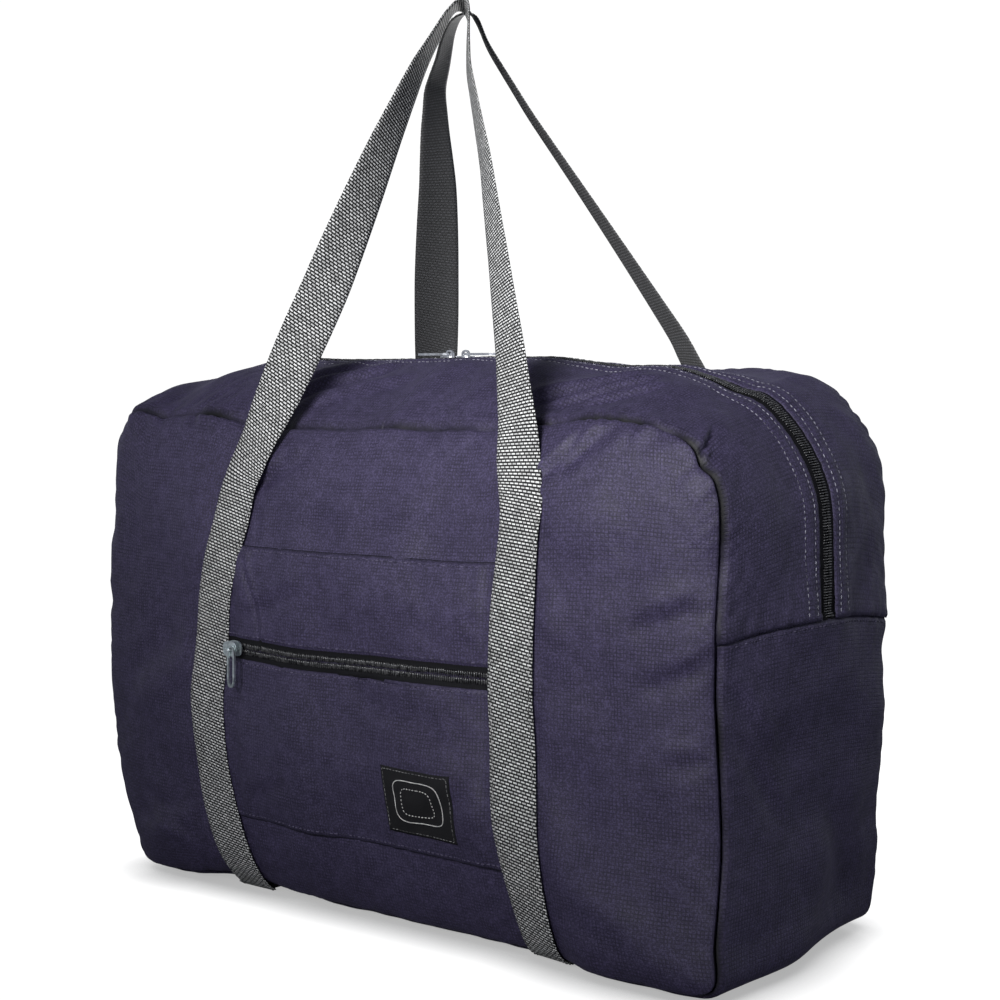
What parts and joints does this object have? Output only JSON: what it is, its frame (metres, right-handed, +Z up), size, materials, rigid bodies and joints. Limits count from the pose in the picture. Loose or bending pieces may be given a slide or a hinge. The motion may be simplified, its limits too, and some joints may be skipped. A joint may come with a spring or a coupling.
{
  "type": "folding tote bag",
  "caption": "Folding travel tote with a zipped top, two webbing handles and a zipped front pouch that the bag folds into.",
  "frame": {"origin": "middle of the bag's base, on the surface it stands on", "axes": "+X to the bag's right seen from the front, -Y out of the front panel with the pouch, +Z up"},
  "size_m": [0.5092, 0.2295, 0.5595],
  "materials": {
    "navy_ripstop": "fine ripstop nylon, low sheen",
    "black_zip": "black zip tape and nylon coil",
    "grey_webbing": "salt and pepper woven webbing",
    "slider_steel": "bright plated metal",
    "slider_gunmetal": "dark plated metal",
    "label_black": "woven label with a plain ring device"
  },
  "bodies": {
    "shell": {"front_panel": "navy_ripstop", "rear_panel": "navy_ripstop", "lower_gusset": "navy_ripstop", "front_left_gusset": "navy_ripstop", "front_right_gusset": "navy_ripstop", "rear_left_gusset": "navy_ripstop", "rear_right_gusset": "navy_ripstop", "front_left_tape": "black_zip", "front_left_coil": "black_zip", "front_right_tape": "black_zip", "front_right_coil": "black_zip", "rear_left_tape": "black_zip", "rear_left_coil": "black_zip", "rear_right_tape": "black_zip", "rear_right_coil": "black_zip", "pouch_lower": "navy_ripstop", "pouch_upper": "navy_ripstop", "pouch_lower_tape": "black_zip", "pouch_lower_coil": "black_zip", "pouch_upper_tape": "black_zip", "pouch_upper_coil": "black_zip", "woven_label": "label_black", "left_bottom_webbing": "grey_webbing", "front_left_webbing": "grey_webbing", "rear_left_webbing": "grey_webbing", "right_bottom_webbing": "grey_webbing", "front_right_webbing": "grey_webbing", "rear_right_webbing": "grey_webbing"},
    "front_flap": {"front_flap": "navy_ripstop", "front_mouth_tape": "black_zip", "front_mouth_coil": "black_zip"},
    "rear_flap": {"rear_flap": "navy_ripstop", "rear_mouth_tape": "black_zip", "rear_mouth_coil": "black_zip"},
    "left_slider": {"left_slider": "slider_steel"},
    "right_slider": {"right_slider": "slider_steel"},
    "left_pull": {"left_pull": "slider_steel"},
    "right_pull": {"right_pull": "slider_steel"},
    "pouch_slider": {"pouch_slider": "slider_gunmetal"},
    "pouch_pull": {"pouch_pull": "slider_gunmetal"},
    "front_handle": {"front_handle": "grey_webbing"},
    "rear_handle": {"rear_handle": "grey_webbing"}
  },
  "joints": [
    {"name": "front_flap_hinge", "type": "hinge", "parent": "shell", "child": "front_flap", "pos_m": [0, -0.0774, 0.3024], "axis": [1, 0, 0], "range_deg": [0, 36]},
    {"name": "rear_flap_hinge", "type": "hinge", "parent": "shell", "child": "rear_flap", "pos_m": [0, 0.0774, 0.3024], "axis": [-1, 0, 0], "range_deg": [0, 36]},
    {"name": "left_slide", "type": "slide", "parent": "front_flap", "child": "left_slider", "axis": [-1, 0, 0], "range_m": [0, 0.109]},
    {"name": "right_slide", "type": "slide", "parent": "front_flap", "child": "right_slider", "axis": [1, 0, 0], "range_m": [0, 0.133]},
    {"name": "left_pull_hinge", "type": "hinge", "parent": "left_slider", "child": "left_pull", "pos_m": [-0.0185, 0, 0.3413], "axis": [0, 1, 0], "range_deg": [0, 100]},
    {"name": "right_pull_hinge", "type": "hinge", "parent": "right_slider", "child": "right_pull", "pos_m": [-0.0055, 0, 0.3413], "axis": [0, -1, 0], "range_deg": [0, 100]},
    {"name": "pouch_slide", "type": "slide", "parent": "shell", "child": "pouch_slider", "axis": [1, 0, 0], "range_m": [0, 0.195]},
    {"name": "pouch_pull_pivot", "type": "hinge", "parent": "pouch_slider", "child": "pouch_pull", "pos_m": [-0.0949, -0.11757, 0.16], "axis": [0, -1, 0], "range_deg": [-30, 90]},
    {"name": "front_handle_hinge", "type": "hinge", "parent": "shell", "child": "front_handle", "pos_m": [0, -0.10473, 0.2544], "axis": [1, 0, 0], "range_deg": [0, 150]},
    {"name": "rear_handle_hinge", "type": "hinge", "parent": "shell", "child": "rear_handle", "pos_m": [0, 0.10473, 0.2544], "axis": [-1, 0, 0], "range_deg": [0, 150]}
  ],
  "couplings": [
    {"joint": "rear_flap_hinge", "follows": "front_flap_hinge", "ratio": 1}
  ]
}
